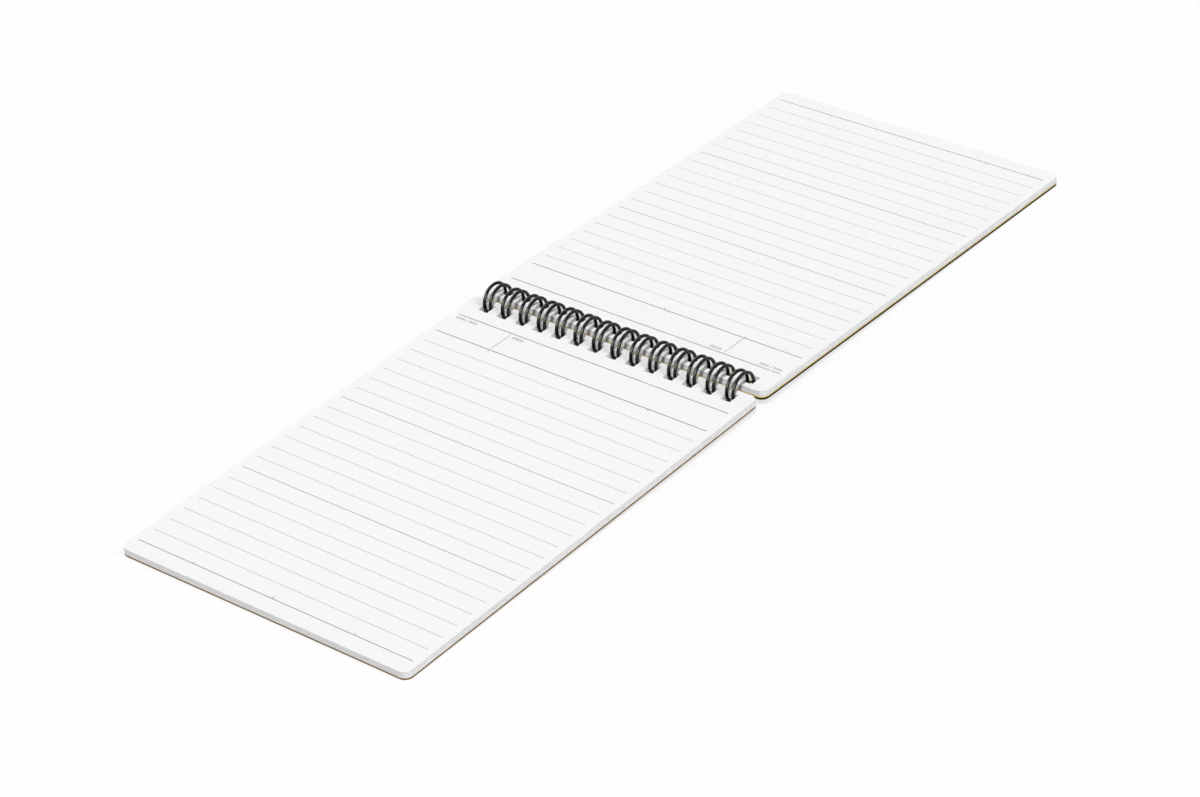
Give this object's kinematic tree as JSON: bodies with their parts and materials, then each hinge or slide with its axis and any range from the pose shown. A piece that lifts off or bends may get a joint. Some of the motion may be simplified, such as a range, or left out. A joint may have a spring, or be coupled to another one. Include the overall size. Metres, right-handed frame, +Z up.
{
  "type": "spiral notebook",
  "caption": "Top-bound notebook lying open flat, with two stacks of ruled pages between a black front cover and a brown back cover on twin-loop wire.",
  "frame": {"origin": "middle of the open notebook's footprint, on the surface it lies on", "axes": "+X along the binding, +Y from the binding towards the turned pages, +Z up"},
  "size_m": [0.128, 0.3668, 0.013],
  "materials": {
    "black_board": "matt black board",
    "yellow_paper": "matt yellow paper",
    "page_paper": "uncoated white paper with pale grey ruling",
    "brown_board": "uncoated brown chipboard",
    "black_wire": "gloss black coated steel wire"
  },
  "bodies": {
    "base": {"back_cover": "brown_board", "binding_wire": "black_wire"},
    "remaining_pages": {"pages": "page_paper"},
    "cover": {"front_cover": "black_board", "front_cover_lining": "yellow_paper"},
    "turned_stack": {"turned_pages": "page_paper"}
  },
  "joints": [
    {"name": "cover_hinge", "type": "hinge", "parent": "base", "child": "cover", "pos_m": [0, 0, 0.00649], "axis": [1, 0, 0], "range_deg": [0, 181.9]},
    {"name": "turned_stack_hinge", "type": "hinge", "parent": "cover", "child": "turned_stack", "pos_m": [0, 0, 0.00649], "axis": [1, 0, 0], "range_deg": [0, 178]},
    {"name": "remaining_pages_hinge", "type": "hinge", "parent": "base", "child": "remaining_pages", "pos_m": [0, 0, 0.00649], "axis": [-1, 0, 0], "range_deg": [0, 181.9]}
  ]
}
